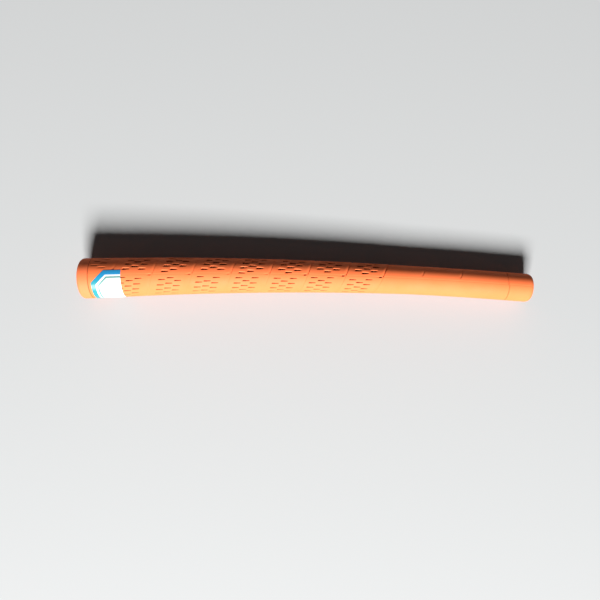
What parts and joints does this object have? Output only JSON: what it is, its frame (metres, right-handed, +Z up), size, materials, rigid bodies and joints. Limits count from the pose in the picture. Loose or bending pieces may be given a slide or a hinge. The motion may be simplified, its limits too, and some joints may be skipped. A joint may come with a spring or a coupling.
{
  "type": "golf grip",
  "caption": "Tapered slip-on rubber golf grip with a spiral wrap groove, rows of short moulded slots, a domed vented butt cap and a label beside it.",
  "frame": {"origin": "centre of the mouth's end face, on the bore's axis, where the club shaft goes in", "axes": "+X along the bore and out of the mouth, +Z up with the grip lying on its side; the grip runs to -X and its slight bend, towards -Y, is in the XY plane"},
  "size_m": [0.2696, 0.0348, 0.0241],
  "materials": {
    "sleeve_rubber": "matte orange moulded rubber with a fine grain",
    "cap_rubber": "matte orange moulded rubber, a little smoother than the sleeve",
    "label_vinyl": "white gloss vinyl film",
    "border_ink": "blue ink under gloss film, greener towards one corner",
    "keyline_ink": "teal ink under gloss film"
  },
  "bodies": {
    "root": {"butt_cap": "cap_rubber", "sleeve_front_half": "sleeve_rubber", "sleeve_rear_half": "sleeve_rubber", "label_film": "label_vinyl", "label_border": "border_ink", "label_keyline": "keyline_ink"}
  },
  "joints": []
}
